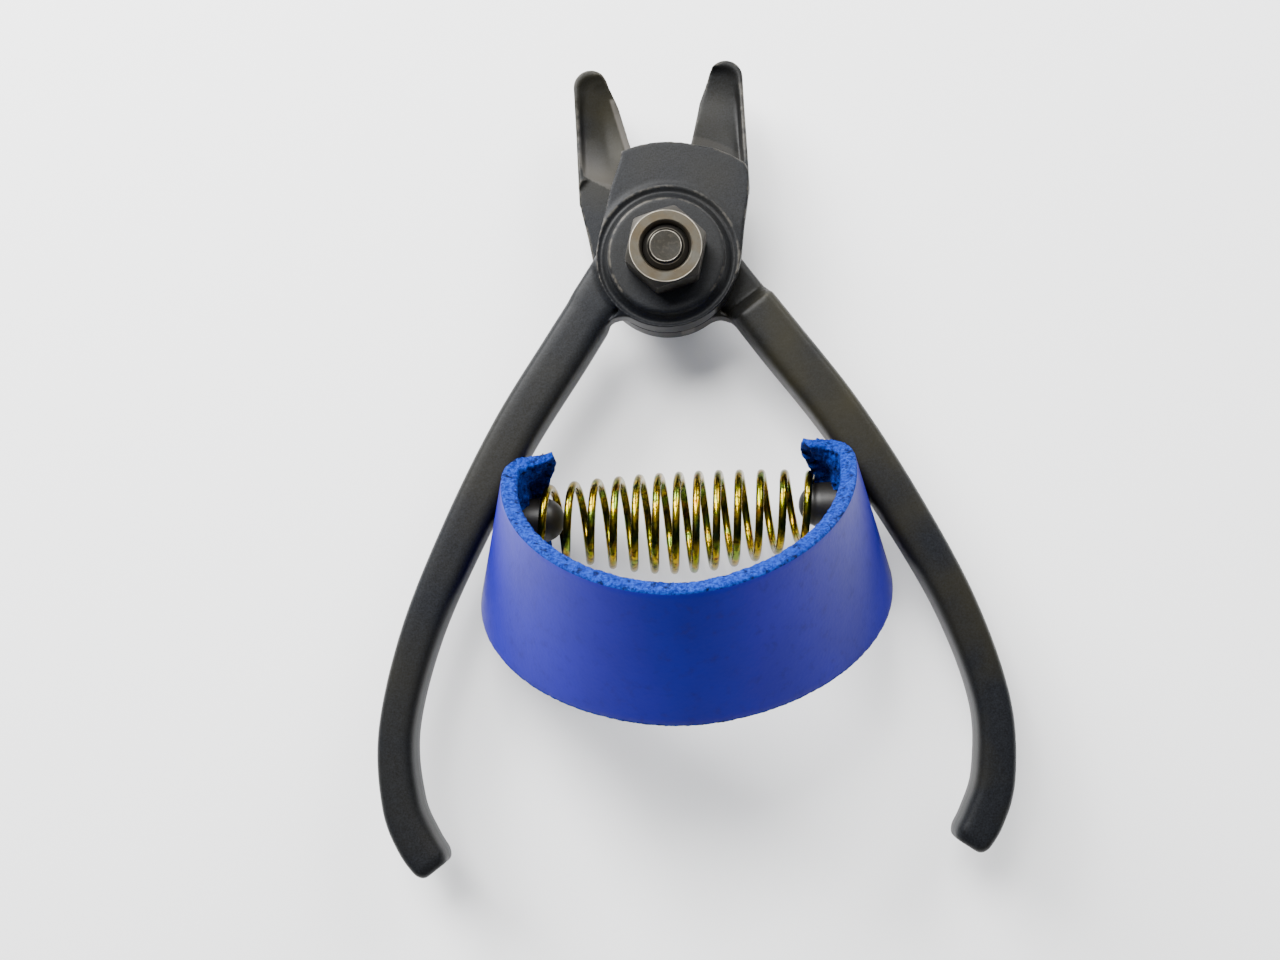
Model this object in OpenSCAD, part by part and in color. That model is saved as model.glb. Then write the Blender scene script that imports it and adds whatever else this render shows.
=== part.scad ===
// Spring-opened hand clippers with a barrel spring and a leather finger loop.
// Millimetres. The origin lies on the pivot axis, on the outer face of the
// bolt head. +Z points to the nut, +Y to the jaws, and the tool lies open.

/* [Pivot] */
// Diameter of the pivot bolt's shank
bolt_d = 7.94; // [7:0.01:8.5]
// Width across the flats of the nut and of the bolt head
hex_af = 12.7; // [12:0.1:14]
// Height of the bolt head
head_h = 5.2; // [4:0.1:6]
// Height of the nut
nut_h = 6.75; // [6:0.05:8]
// Thickness of each lever's half of the lap joint
lap_t = 5.5; // [5:0.1:6]
// Height of the boss under the nut and under the bolt head
boss_h = 1.9; // [1:0.1:2.5]
// Radius of the boss
boss_r = 10.4; // [9:0.1:11]
// Radius of the eye round the pivot
eye_r = 12.4; // [12:0.1:13]

/* [Jaws] */
// Angle through which one handle closes towards the other
grip_travel = 27; // [20:1:27]
// Distance from the pivot to the jaw tips
jaw_reach = 36.1; // [34:0.1:38]
// Distance of the jaws' outer edges from the middle of the open tool
jaw_out = 15.2; // [14.8:0.1:15.6]
// Radius of the arc where the lap joint ends
lap_r = 20.6; // [20:0.1:21]
// Thickness of a jaw from its back to its rim
jaw_t = 5.5; // [5:0.1:6]

/* [Handles] */
// Thickness of the handles
handle_t = 10; // [9:0.5:10.5]
// Distance along the handle at which its full thickness starts
pad_start = 14.7; // [14:0.1:16]

/* [Spring] */
// Diameter of the spring wire
wire_d = 1.4; // [1:0.05:1.5]
// Number of turns of the barrel spring
turns = 13; // [10:1:14]
// Length of the spring in the open tool, over its end turns
spring_len = 51.6; // [50:0.1:52]
// Outer diameter of the spring at its ends
spring_end_d = 11.6; // [11:0.1:12.2]
// Outer diameter of the spring in the middle
spring_mid_d = 18; // [14:0.1:19]
// Distance from the pivot to the line between the spring studs
stud_y = 44.3; // [44:0.1:45]
// Diameter of a spring stud
stud_d = 7.8; // [7:0.1:8]

/* [Strap] */
// Width of the leather strap
strap_w = 26; // [22:0.5:28]
// Thickness of the leather
strap_t = 2.8; // [2:0.1:3]
// Depth of the finger loop below its widest place
loop_depth = 38; // [30:1:45]
// Angle by which the loop stands up out of the plane of the tool
loop_tilt = 56; // [50:1:60]

/* [Hidden] */

$fn = 72;
eps = 0.01;
boss_z = lap_t + boss_h;                 // outer face of a boss, from the parting plane
mid_z = head_h + boss_z;                 // height of the parting plane
bore_r = bolt_d / 2 + 0.05;
lap_gap = 0.05;                          // half the running gap between the lap faces
nut_turn = 15;                           // the nut's corners stand turned by this angle
edge_angle = grip_travel / 2 + 0.4;      // the cutting edges point at the pivot
kink_r = 30.3;                           // the cutting edge ends this far from the pivot
tip_r = 3.1;                             // radius of the rounded jaw tips
jaw_rim = 1.1;                           // width of the rim round the tip and the outer edge
back_top = [[14, 0.3], [37, 0.3]];       // distance along the jaw and height of its rim
front_top = [[14, 4.6], [20.4, 4.6], [26, 2], [31, 0.8], [37, 0.8]];
dish_depth = 2.6;
dish_r = 11;                             // radius of the dish across the jaw
wall = 2.6;                              // thickness of the jaw under the dish
// Each dish is a barrel: its radius along the jaw, the x and y of its deepest
// point, and the angle by which it lies turned.
front_dish = [11.5, 11.5, 30, -30];
back_dish = [18.6, 10.5, 25.5, 31];
ridge_r = 12.2;                          // radius of the ridge round the boss
groove = 0.4;                            // depth of the groove between boss and ridge

// Middle line of a handle, as distances out from the middle of the tool and down
// from the pivot, with half the handle's width there.
handle_line = [[4, 7, 4.6], [10.2, -2, 4.6], [18.7, -14.4, 4.5], [28.3, -28.6, 4.25],
               [37.8, -45, 3.9], [46.3, -62.7, 3.5], [51.1, -79.3, 3.3], [50.9, -91.8, 3.5],
               [48.4, -99, 3.6], [45.3, -103.6, 3.3]];
handle_steps = 4;                        // rings between two of the points
handle_sides = 12;
handle_dir = [0.575, -0.818];            // direction of the straight root of a handle

stud_in = 24.4;                          // centre of the stud's dome, from the middle
stud_base = 32.6;                        // where the stud's axis meets the handle
stud_shank_r = 2.5;
shank_l = 5.5;                           // the shank reaches this far past stud_base

// --- helpers -----------------------------------------------------------------

function lerp(a, b, t) = a + (b - a) * t;

// Catmull-Rom curve between the second and the third of four points.
function curve_point(p0, p1, p2, p3, t) =
    0.5 * (2 * p1 + (p2 - p0) * t + (2 * p0 - 5 * p1 + 4 * p2 - p3) * pow(t, 2)
           + (3 * p1 - p0 - 3 * p2 + p3) * pow(t, 3));

function curve(points, steps) = let (last = len(points) - 1)
    [for (i = [1 : last - 1], k = [0 : steps - 1])
        curve_point(points[i - 1], points[i], points[i + 1], points[min(i + 2, last)], k / steps),
     points[last]];

function unit(v) = v / norm(v);

// Direction of a list of points at one of them.
function heading(points, i) =
    unit(points[min(i + 1, len(points) - 1)] - points[max(i - 1, 0)]);

// Solid through a list of rings with the same even number of points, which run
// clockwise seen along the solid's own direction. The end faces are ladders from
// the first half of a ring to its second half, so that a ring may be bent.
module loft(rings) {
    n = len(rings[0]);
    m = len(rings);
    sides = [for (i = [0 : m - 2], k = [0 : n - 1], t = [0, 1])
        let (a = i * n + k, b = i * n + (k + 1) % n)
        t == 0 ? [a, b, b + n] : [a, b + n, a + n]];
    ladder = [for (k = [0 : n / 2 - 2], t = [0, 1])
        t == 0 ? [k, k + 1, n - 1 - k] : [k + 1, n - 2 - k, n - 1 - k]];
    start = [for (f = ladder) [f[0], f[2], f[1]]];
    end = [for (f = ladder) f + [1, 1, 1] * (m - 1) * n];
    polyhedron([for (r = rings, p = r) p], concat(sides, start, end), convexity = 6);
}

function bulge(c, power) = sign(c) * pow(abs(c), power);

// --- levers ------------------------------------------------------------------

// The forged bar of the +X handle: a rounded section that follows the middle line.
module handle_bar() {
    line = curve(handle_line, handle_steps);
    last = len(line) - 1;
    rings = [for (i = [0 : last])
        let (p = line[i], d = heading(line, i),
             ahead = unit([d[0], d[1]]),
             across = [ahead[1], -ahead[0]],
             end = i == last ? 0.72 : 1)
        [for (k = [0 : handle_sides - 1])
            let (a = 360 * k / handle_sides,
                 u = p[2] * end * bulge(cos(a), 0.6),
                 z = handle_t / 2 * end * bulge(sin(a), 0.6))
            [p[0] + across[0] * u, p[1] + across[1] * u, z]]];
    loft(rings);
}

// Outline of one half of the lap joint, with the jaw on the +X side.
module lap_outline() {
    start = [8.9, -0.5];
    end = start + 15 * handle_dir;
    side = [-handle_dir[1], handle_dir[0]] * 4.3;
    offset(r = -3) offset(delta = 3) {
        circle(eye_r);
        intersection() {
            circle(lap_r);
            polygon([[-7, 19], [-9.2, 13], [-11.8, 4.2], [-12.6, 0], [13.2, 0], [13.9, 5.6],
                     [14.9, 10.7], [jaw_out, 15], [jaw_out, 25], [-7, 25]]);
        }
        polygon([for (p = [start - side, start + side, end + side, end - side]) [-p[0], p[1]]]);
    }
}

module lap_plate() {
    edge = 0.6;
    floor_z = lap_t - groove - eps;
    difference() {
        union() {
            translate([0, 0, lap_gap]) linear_extrude(lap_t - edge - lap_gap) lap_outline();
            translate([0, 0, lap_t - edge - eps]) linear_extrude(edge + eps) offset(delta = -edge) lap_outline();
        }
        translate([0, 0, floor_z]) cylinder(r = ridge_r, h = boss_z);
    }
}

// Raised seat for the nut or the bolt head, inside a groove and a low forged ridge.
module boss() {
    intersection() {
        rotate_extrude() polygon([
            [0, 1], [ridge_r + 1.3, 1], [ridge_r + 1.3, lap_t - 0.1], [ridge_r + 0.6, lap_t + 0.4],
            [ridge_r, lap_t + 0.5], [ridge_r - 0.7, lap_t - groove + 0.1], [boss_r + 0.7, lap_t - groove],
            [boss_r + 0.4, boss_z - 0.4], [boss_r, boss_z], [0, boss_z]]);
        linear_extrude(2 * boss_z) lap_outline();
    }
}

function edge_x(r) = r * sin(edge_angle);
function edge_y(r) = r * cos(edge_angle);

// Outline of a jaw: a straight cutting edge that points at the pivot, a nose
// that falls back from it, and a straight outer edge. The outline of its dish is
// drawn in by rim and runs out over the cutting edge.
module jaw_outline(rim = 0) {
    nose = [jaw_out - tip_r, jaw_reach - tip_r];
    past = rim > 0 ? 1 : 0;
    polygon(concat(
        [[edge_x(14) - past, edge_y(14)], [edge_x(kink_r) - past, edge_y(kink_r)]],
        [for (a = [170 : -17 : 0]) nose + (tip_r - rim) * [cos(a), sin(a)]],
        [[jaw_out - rim, 14]]));
}

// A barrel that lies across the jaws: radius length_r along the jaw and cross_r
// across it, with its lowest point at [x, y, z].
module barrel(x, y, z, length_r, cross_r) {
    translate([x, y, z + length_r]) rotate([0, 90, 0]) {
        rotate_extrude($fn = 96) intersection() {
            translate([length_r - cross_r, 0]) circle(cross_r, $fn = 96);
            translate([0, -cross_r]) square([length_r + 1, 2 * cross_r]);
        }
        cylinder(r = length_r - cross_r + eps, h = 2 * cross_r - eps, center = true);
    }
}

// A spoon-shaped jaw. top is the side view of its rim.
module jaw(top, dish) {
    difference() {
        intersection() {
            translate([0, 0, -jaw_t]) linear_extrude(2 * jaw_t) jaw_outline();
            rotate([90, 0, 90]) linear_extrude(20)
                polygon(concat([[37, -jaw_t - 1], [14, -jaw_t - 1]], top));
            barrel(10.1, 27, -dish_depth - wall, 27, 9.5);
        }
        intersection() {
            translate([0, 0, -jaw_t]) linear_extrude(2 * jaw_t) jaw_outline(jaw_rim);
            translate([dish[1], dish[2], 0]) rotate([0, 0, dish[3]])
                barrel(0, 0, -dish_depth, dish[0], dish_r);
        }
    }
}

// One lever with its jaw at +X and its handle at -X. The lap lies above the
// parting plane for up = 1 and below it for up = -1.
module lever(up) {
    sweep_r = lap_r + 0.4;
    difference() {
        union() {
            difference() {
                mirror([1, 0, 0]) handle_bar();
                // full thickness starts at the pad
                rotate([0, 0, atan2(handle_dir[1], -handle_dir[0])])
                    translate([-60 + pad_start, -30, up > 0 ? -20 : -lap_gap])
                        cube([60, 60, 20 + lap_gap]);
            }
            difference() {
                jaw(up > 0 ? front_top : back_top, up > 0 ? front_dish : back_dish);
                translate([0, 0, up > 0 ? -20 : -lap_gap]) cylinder(r = sweep_r, h = 20 + lap_gap);
            }
            mirror([0, 0, up > 0 ? 0 : 1]) {
                lap_plate();
                boss();
            }
        }
        translate([0, 0, -20]) cylinder(r = bore_r, h = 40);
        translate([-stud_base - shank_l, -stud_y, 0]) rotate([0, 90, 0])
            cylinder(r = stud_shank_r, h = 2 * shank_l);
    }
}

module front_lever() color([0.27, 0.27, 0.27]) translate([0, 0, mid_z]) lever(1);

module back_lever() color([0.25, 0.25, 0.24]) translate([0, 0, mid_z]) mirror([1, 0, 0]) lever(-1);

// --- pivot bolt and nut ------------------------------------------------------

// A hexagon whose corners are turned down at the end given by face, 0 or 1.
module hexagon(h, face) {
    corner_r = hex_af / sqrt(3);
    fall = 0.7;
    intersection() {
        cylinder(r = corner_r, h = h, $fn = 6);
        translate([0, 0, face == 1 ? h : 0]) mirror([0, 0, face]) union() {
            cylinder(r1 = corner_r - fall * 1.7, r2 = corner_r + eps, h = fall);
            translate([0, 0, fall - eps]) cylinder(r = corner_r + eps, h = h);
        }
    }
}

module pivot_bolt() color([0.42, 0.4, 0.37]) {
    end = 1;
    shank = 2 * boss_z + nut_h;
    hexagon(head_h, 0);
    translate([0, 0, head_h - eps]) cylinder(d = bolt_d, h = shank - end + eps);
    translate([0, 0, head_h + shank - end]) cylinder(d1 = bolt_d, d2 = bolt_d - 2 * end, h = end);
}

module pivot_nut() color([0.45, 0.42, 0.38]) translate([0, 0, mid_z + boss_z]) difference() {
    rotate([0, 0, nut_turn]) hexagon(nut_h, 1);
    translate([0, 0, -1]) cylinder(r = bolt_d / 2 + 0.03, h = nut_h + 2);
    translate([0, 0, nut_h - 0.5]) cylinder(d1 = bolt_d, d2 = bolt_d + 1.4, h = 0.5 + eps);
}

// --- spring studs ------------------------------------------------------------

// A riveted stud on the +X side: a shank in the handle, a body and a domed end.
module spring_stud() {
    $fn = 40;
    body = stud_base - stud_in - 1;
    shank = stud_base - stud_in + shank_l - 0.1;
    translate([stud_in, -stud_y, mid_z]) rotate([0, 90, 0]) {
        intersection() {
            sphere(d = stud_d);
            translate([0, 0, -10]) cylinder(d = stud_d + 1, h = 10 + eps);
        }
        cylinder(d = stud_d, h = body);
        cylinder(r = stud_shank_r - 0.03, h = shank);
    }
}

module left_spring_stud() color([0.1, 0.1, 0.1]) mirror([1, 0, 0]) trimmed_stud();
module right_spring_stud() color([0.1, 0.1, 0.1]) trimmed_stud();

// The stud's body ends on the slanted inner face of the handle.
module trimmed_stud() {
    difference() {
        spring_stud();
        translate([0, 0, mid_z]) difference() {
            handle_bar();
            translate([stud_in, -stud_y, 0]) rotate([0, 90, 0])
                cylinder(r = stud_shank_r, h = 20);
        }
    }
}

// --- return spring -----------------------------------------------------------

ring_count = 8 * turns;                  // rings of the wire, eight to a turn
spring_bow = 1.8;                        // the spring bows away from the pivot
spread = 0.11;                           // the turns stand this much closer in the middle
wire_sides = 6;

function spring_r(s) = lerp(spring_end_d, spring_mid_d, pow(sin(180 * s), 0.8)) / 2 - wire_d / 2;

// Middle of the wire at share s of its turns.
function spring_point(s) =
    let (u = 2 * s - 1, a = 180 - 360 * turns * s)
    [(spring_len - wire_d) / 2 * ((1 - spread) * u + spread * pow(u, 3)),
     -stud_y - spring_bow * sin(180 * s) + spring_r(s) * cos(a),
     mid_z + spring_r(s) * sin(a)];

spring_line = [for (i = [0 : ring_count]) spring_point(i / ring_count)];

// The least distance between the surfaces of one turn and the next.
spring_self_gap = min([for (i = [0 : ring_count - 6], j = [6 : 10])
    i + j <= ring_count ? norm(spring_line[i] - spring_line[i + j]) - wire_d : 99]);
echo(spring_self_gap = spring_self_gap);

module return_spring() color([0.72, 0.6, 0.2]) {
    rings = [for (i = [0 : ring_count])
        let (d = heading(spring_line, i),
             side = unit(cross(d, [1, 0, 0])),
             out = cross(side, d))
        [for (k = [0 : wire_sides - 1])
            let (a = 360 * k / wire_sides)
            spring_line[i] + wire_d / 2 * (cos(a) * side + sin(a) * out)]];
    loft(rings);
}

// --- finger strap ------------------------------------------------------------

strap_steps = 56;
strap_end = 137;                         // the loop turns this far to each side of its bottom
loop_half = 31.6;                        // half the loop's width at its widest place
loop_wide = 5;                           // the widest place lies this far below the studs
tab_rise = 11;                           // the tabs reach up by this much
flare = 0.26;                            // the strap leans with the handles' inner faces
lean = 53;                               // tilt of the strap's width at the bottom
tab_start = 95;                          // the loop turns into a tab at this angle
tab_tongue = 3.2;                        // the middle of a tab's end stands out by this much
pinned = spring_end_d / 2;               // the spring's end holds a tab flat up to here
deep = [0, -cos(loop_tilt), sin(loop_tilt)];
across = [-1, -0.55, -0.1, 0.25, 0.48, 0.74, 1];   // points of a ring, as shares of half the width

function loop_point(a) =
    [loop_half * bulge(sin(a), 1.1), -stud_y, mid_z]
    + (loop_wide + (cos(a) > 0 ? loop_depth : tab_rise) * cos(a)) * deep;

// How far a tab's round end reaches past a straight cut, at share v of half the width.
function tongue(a, v) =
    tab_tongue * pow(max(0, abs(a) - 110) / (strap_end - 110), 2) * (1 - (v < 0 ? 1.25 : 1) * pow(v, 2));

// A tab's point, held against the handle by the spring's end. Above it the tab
// curls in. side is 1 on the outer face and -1 on the inner one.
function held(p, a, side) =
    let (least = (spring_len + strap_t + side * strap_t) / 2 + 0.6
                 - 1.2 * max(0, p[1] + stud_y - pinned))
    abs(a) < tab_start ? p : [sign(p[0]) * max(abs(p[0]), least), p[1], p[2]];

function strap_ring(a) =
    let (p = loop_point(a),
         along = unit(loop_point(a + 1) - loop_point(a - 1)),
         raw = [-flare * p[0] / loop_half, sin(lean), cos(lean)],
         width = unit(raw - (raw * along) * along),
         out = cross(along, width),
         outer = [for (v = across) [v, 1]],
         inner = [for (i = [len(across) - 1 : -1 : 0]) [across[i], -1]])
    [for (c = concat(outer, inner))
        held(p + c[0] * strap_w / 2 * width + c[1] * strap_t / 2 * out - tongue(a, c[0]) * deep,
             a, c[1])];

module finger_strap() color([0.1, 0.16, 0.68]) difference() {
    loft([for (i = [0 : strap_steps])
        strap_ring(lerp(-strap_end, strap_end, i / strap_steps))]);
    translate([0, -stud_y, mid_z]) rotate([0, 90, 0])
        cylinder(d = stud_d + 0.8, h = 80, center = true);
}

front_lever();
back_lever();
pivot_bolt();
pivot_nut();
left_spring_stud();
right_spring_stud();
return_spring();
finger_strap();
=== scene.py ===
import math

import bpy
import numpy as np
from mathutils import Matrix, Vector, noise


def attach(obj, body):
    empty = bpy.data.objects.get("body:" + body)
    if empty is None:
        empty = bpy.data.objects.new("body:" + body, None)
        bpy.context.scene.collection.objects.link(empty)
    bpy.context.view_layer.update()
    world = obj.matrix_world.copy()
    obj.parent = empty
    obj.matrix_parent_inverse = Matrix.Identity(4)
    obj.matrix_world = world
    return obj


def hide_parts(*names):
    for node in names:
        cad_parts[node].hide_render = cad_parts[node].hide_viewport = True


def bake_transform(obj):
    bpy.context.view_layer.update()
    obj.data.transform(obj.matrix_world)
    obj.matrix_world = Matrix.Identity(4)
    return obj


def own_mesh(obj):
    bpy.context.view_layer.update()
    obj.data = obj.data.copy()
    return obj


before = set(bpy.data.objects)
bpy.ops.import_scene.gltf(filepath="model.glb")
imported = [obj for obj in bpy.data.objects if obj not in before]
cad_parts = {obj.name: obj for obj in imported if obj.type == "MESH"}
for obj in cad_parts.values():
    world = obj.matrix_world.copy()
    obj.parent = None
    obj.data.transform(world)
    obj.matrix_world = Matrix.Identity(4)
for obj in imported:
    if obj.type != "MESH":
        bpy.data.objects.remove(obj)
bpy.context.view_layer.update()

# --- measures of the clippers, in millimetres ----------------------------------
# The middle of the tool is x = 0, the pivot is the Z axis, and MID is the height
# of the parting plane between the two levers.

MM = 0.001
MID = 12.6

# Lap joint: thickness of a half, height of the seat, radii of the eye, the bore, the plate
# and the room it sweeps, the gap, and where the handle's full thickness starts.
LAP_T = 5.5
BOSS_TOP = 7.4
EYE_R = 12.4
BORE_R = 4.05
LAP_R = 20.6
SWEEP_R = 21.1
LAP_GAP = 0.1
PAD_START = 14.7

# Jaw: angle of the cutting edge, kink where the nose starts, end of the nose, tip, rim's width,
# depth of the dish, width of the ground strip, outer edge, and the crease of the back dish.
EDGE_ANGLE = math.radians(13.9)
KINK = (7.28, 29.41)
NOSE_END = (9.05, 33.54)
TIP = (12.1, 33.0)
TIP_R = 3.1
RIM = 0.85
DISH_DEPTH = 2.6
GROUND_W = 1.15
JAW_OUT = 15.2
CREASE_TURN = (0.856, 0.517)
CREASE_AT = 7.04
CREASE_OUT = 14.9

# Studs, nut and bolt. AF is the nut's width over its flats.
STUD_Y = 44.3
STUD_IN = 24.4
STUD_R = 3.9
NUT_AF = 12.7
NUT_H = 6.75
HEAD_H = 5.2
BOLT_R = 3.97

# Direction of a handle's straight root, away from the pivot.
ROOT_DIR = (0.575, -0.818)

# Middle line of a handle: x, y and half the width. The first point only steers the curve.
HANDLE_LINE = [
    (-1.5, 15.0, 4.2), (4.2, 6.6, 4.2), (10.0, -2.2, 4.2), (18.5, -14.5, 4.35),
    (28.3, -28.6, 4.25), (37.8, -45.0, 3.9), (46.3, -62.7, 3.5), (51.1, -79.3, 3.3),
    (50.9, -91.8, 3.5), (48.4, -99.0, 3.6), (45.3, -103.6, 3.3),
]


# --- camera ----------------------------------------------------------------------

def make_camera():
    spot = Vector((4.15, -61.88, 290.83)) * MM
    ahead = Vector((-0.0397, 0.0847, -0.9956)).normalized()
    right = ahead.cross(Vector((0.0558, 0.995, 0.0825))).normalized()
    top = right.cross(ahead)
    data = bpy.data.cameras.new("camera")
    data.sensor_width = 36.0
    data.lens = 44.72
    data.clip_start = 0.01
    camera = bpy.data.objects.new("camera", data)
    camera.matrix_world = Matrix.Translation(spot) @ Matrix((right, top, -ahead)).transposed().to_4x4()
    bpy.context.scene.collection.objects.link(camera)
    bpy.context.scene.camera = camera


make_camera()


# --- building meshes ----------------------------------------------------------------

# A point this many millimetres from its neighbours' mean counts as a full edge.
FULL_BEND = 0.034


class Shells:
    """Closed shells, in millimetres, that become one mesh."""

    def __init__(self):
        self.points = []
        self.faces = []

    def loft(self, rings, closed=False):
        """A skin through rings of the same number of points, capped unless it closes on itself."""
        start = len(self.points)
        n = len(rings[0])
        for ring in rings:
            self.points.extend(tuple(p) for p in ring)
        for i in range(len(rings) - (0 if closed else 1)):
            a = start + i * n
            b = start + (i + 1) % len(rings) * n
            for k in range(n):
                j = (k + 1) % n
                self.faces.append((a + k, a + j, b + j, b + k))
        if not closed:
            last = start + (len(rings) - 1) * n
            self.faces.append(tuple(start + k for k in reversed(range(n))))
            self.faces.append(tuple(last + k for k in range(n)))

    def prism(self, outline, low, high):
        self.loft([[(x, y, low) for x, y in outline], [(x, y, high) for x, y in outline]])

    def lathe(self, profile, sides, closed=False):
        """Turns a profile of (radius, height) about the Z axis."""
        turns = [2 * math.pi * k / sides for k in range(sides)]
        self.loft([[(r * math.cos(a), r * math.sin(a), h) for a in turns] for r, h in profile], closed)

    def piece(self, name, place=lambda p: p):
        """The mesh object, with every point in millimetres passed through place."""
        points = place(np.array(self.points, float)) * MM
        mesh = bpy.data.meshes.new(name)
        mesh.from_pydata(points.tolist(), [], self.faces)
        mesh.validate()
        mesh.update()
        made = bpy.data.objects.new(name, mesh)
        bpy.context.scene.collection.objects.link(made)
        return made


def evaluated_mesh(piece):
    """Applies a piece's modifiers to its mesh."""
    graph = bpy.context.evaluated_depsgraph_get()
    mesh = bpy.data.meshes.new_from_object(piece.evaluated_get(graph))
    piece.modifiers.clear()
    piece.data = mesh
    return mesh


def fuse(piece, cell):
    """Turns overlapping shells into one skin of cells of this size in millimetres."""
    remesh = piece.modifiers.new("fuse", "REMESH")
    remesh.mode = "VOXEL"
    remesh.voxel_size = cell * MM
    return evaluated_mesh(piece)


def read_points(mesh):
    points = np.empty(len(mesh.vertices) * 3)
    mesh.vertices.foreach_get("co", points)
    return points.reshape(-1, 3) / MM


def write_points(mesh, points):
    mesh.vertices.foreach_set("co", (points * MM).ravel())
    mesh.update()


def read_edges(mesh):
    edges = np.empty(len(mesh.edges) * 2, int)
    mesh.edges.foreach_get("vertices", edges)
    return edges.reshape(-1, 2)


def neighbour_mean(values, edges):
    """Mean of each point's neighbours, for an array with one row per point."""
    count = np.bincount(edges.ravel(), minlength=len(values))
    total = np.stack([
        np.bincount(edges[:, 0], column[edges[:, 1]], len(values))
        + np.bincount(edges[:, 1], column[edges[:, 0]], len(values))
        for column in values.T
    ], 1)
    return total / np.maximum(count, 1)[:, None]


def relax(points, edges, share, rounds):
    """Rounds edges and fills corners: each point moves by its share towards its neighbours' mean."""
    for _ in range(rounds):
        points = points + (neighbour_mean(points, edges) - points) * share[:, None]
    return points


def outward(mesh):
    normals = np.empty(len(mesh.vertices) * 3)
    mesh.vertex_normals.foreach_get("vector", normals)
    return normals.reshape(-1, 3)


def store(mesh, name, values):
    layer = mesh.attributes.new(name, "FLOAT", "POINT")
    layer.data.foreach_set("value", values.astype(np.float32))


def mark_edges(mesh, edges, worn_and_highlit):
    """Stores how far each point stands out as a worn edge, plus the given extra, which carries a painted
    highlight; and how far it lies in a concave corner, which is darkened as painted shade.
    """
    points = read_points(mesh)
    normals = outward(mesh)
    bend = -((neighbour_mean(points, edges) - points) * normals).sum(1)[:, None]
    for _ in range(3):
        bend = 0.5 * bend + 0.5 * neighbour_mean(bend, edges)
    bend = bend[:, 0] / FULL_BEND
    # worn edges, plus the given extra, which carries the painted highlight on the seat's rim
    store(mesh, "wear_and_highlight", np.clip(bend + worn_and_highlit, 0, 1))
    # painted shade: how deep each point lies in a concave corner
    store(mesh, "corner_shade", np.clip(-bend, 0, 1))


def smooth_step(low, high, values):
    share = np.clip((values - low) / (high - low), 0, 1)
    return share * share * (3 - 2 * share)


def curve_points(points, steps):
    """Catmull-Rom curve through the points, which starts at the second of them."""
    rows = np.array(points, float)
    found = []
    for i in range(1, len(rows) - 1):
        p0, p1, p2, p3 = rows[i - 1], rows[i], rows[i + 1], rows[min(i + 2, len(rows) - 1)]
        for k in range(steps):
            t = k / steps
            found.append(0.5 * (2 * p1 + (p2 - p0) * t + (2 * p0 - 5 * p1 + 4 * p2 - p3) * t ** 2
                                + (3 * p1 - p0 - 3 * p2 + p3) * t ** 3))
    return np.array(found + [rows[-1]])


def bulge(c, power):
    """Coordinate of a rounded square, from the cosine or sine of a circle."""
    return math.copysign(abs(c) ** power, c)


# --- levers --------------------------------------------------------------------------
# A lever is shaped with its jaw at +X, its handle at -X and heights counted from the
# parting plane. up is 1 for the lever on the nut's side and -1 for the other.

# A handle comes to its full thickness over RISE_LENGTH, and narrows to END_SHARE over END_LENGTH.
HANDLE_SIDES = 40
HANDLE_SQUARENESS = 0.4
HANDLE_T = LAP_T - 0.5
RISE_LENGTH = 1.1
END_LENGTH = 1.6
END_SHARE = 0.72
WEB_R = 3.6
WEB_EDGE = 4.0
# Height of a jaw's rim at these distances from the pivot.
FRONT_RIM = ([16, 19, 22, 26, 31], [3.6, 3.1, 2.4, 1.4, 0.8])
BACK_RIM = ([14, 17, 24, 31], [0.35, 0.35, -0.3, 0.3])
BARREL_CENTRE = (11.2, 24.3)
BARREL_TURN = math.radians(31)
BARREL_R = 40.0
LEAST_WALL = 1.2
EDGE_WALL = 1.7
GROUND_DROP = 0.9
SKIN_CELL = 0.25
BORE_KEEP_R = 5.2
SEAT_RIM_R = 9.95
CREASE_END = (14.6, 16.9)


def edge_distance(x, y):
    """Distance from the line of the cutting edge, positive inside the jaw."""
    return x * math.cos(EDGE_ANGLE) - y * math.sin(EDGE_ANGLE)


def past_crease(x, y):
    """Distance from the crease where the back lever's dish starts, positive inside the dish."""
    return CREASE_TURN[0] * y - CREASE_TURN[1] * x - CREASE_AT


def handle_rings(up):
    """Rings along a handle, which is thin in the lap joint and full from the pad on."""
    line = curve_points(HANDLE_LINE, 14)
    steps = np.linalg.norm(np.diff(line[:, :2], axis=0), axis=1)
    along = np.concatenate([[0], np.cumsum(steps)])
    pad = (PAD_START - RISE_LENGTH / 2, PAD_START + RISE_LENGTH / 2)
    rings = []
    for i, (x, y, half) in enumerate(line):
        ahead = line[min(i + 1, len(line) - 1), :2] - line[max(i - 1, 0), :2]
        ahead = ahead / np.linalg.norm(ahead)
        across = np.array([ahead[1], -ahead[0]])
        reach = x * ROOT_DIR[0] + y * ROOT_DIR[1]
        rise = smooth_step(*pad, np.array([reach]))[0]
        far = -up * LAP_GAP + (-up * HANDLE_T + up * LAP_GAP) * rise
        near = up * HANDLE_T
        # the end is rounded off
        left = along[-1] - along[i]
        end = min(1.0, END_SHARE + (1 - END_SHARE) * math.sqrt(min(1.0, left / END_LENGTH)))
        middle = (near + far) / 2
        deep = abs(near - far) / 2 * end
        ring = []
        for k in range(HANDLE_SIDES):
            a = 2 * math.pi * k / HANDLE_SIDES
            wide = half * end * bulge(math.cos(a), HANDLE_SQUARENESS)
            high = deep * bulge(math.sin(a), HANDLE_SQUARENESS)
            wide *= 1 - 0.05 * abs(high) / max(deep, 0.1)
            ring.append((-(x + across[0] * wide), y + across[1] * wide, middle + high))
        rings.append(ring)
    return rings


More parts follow.
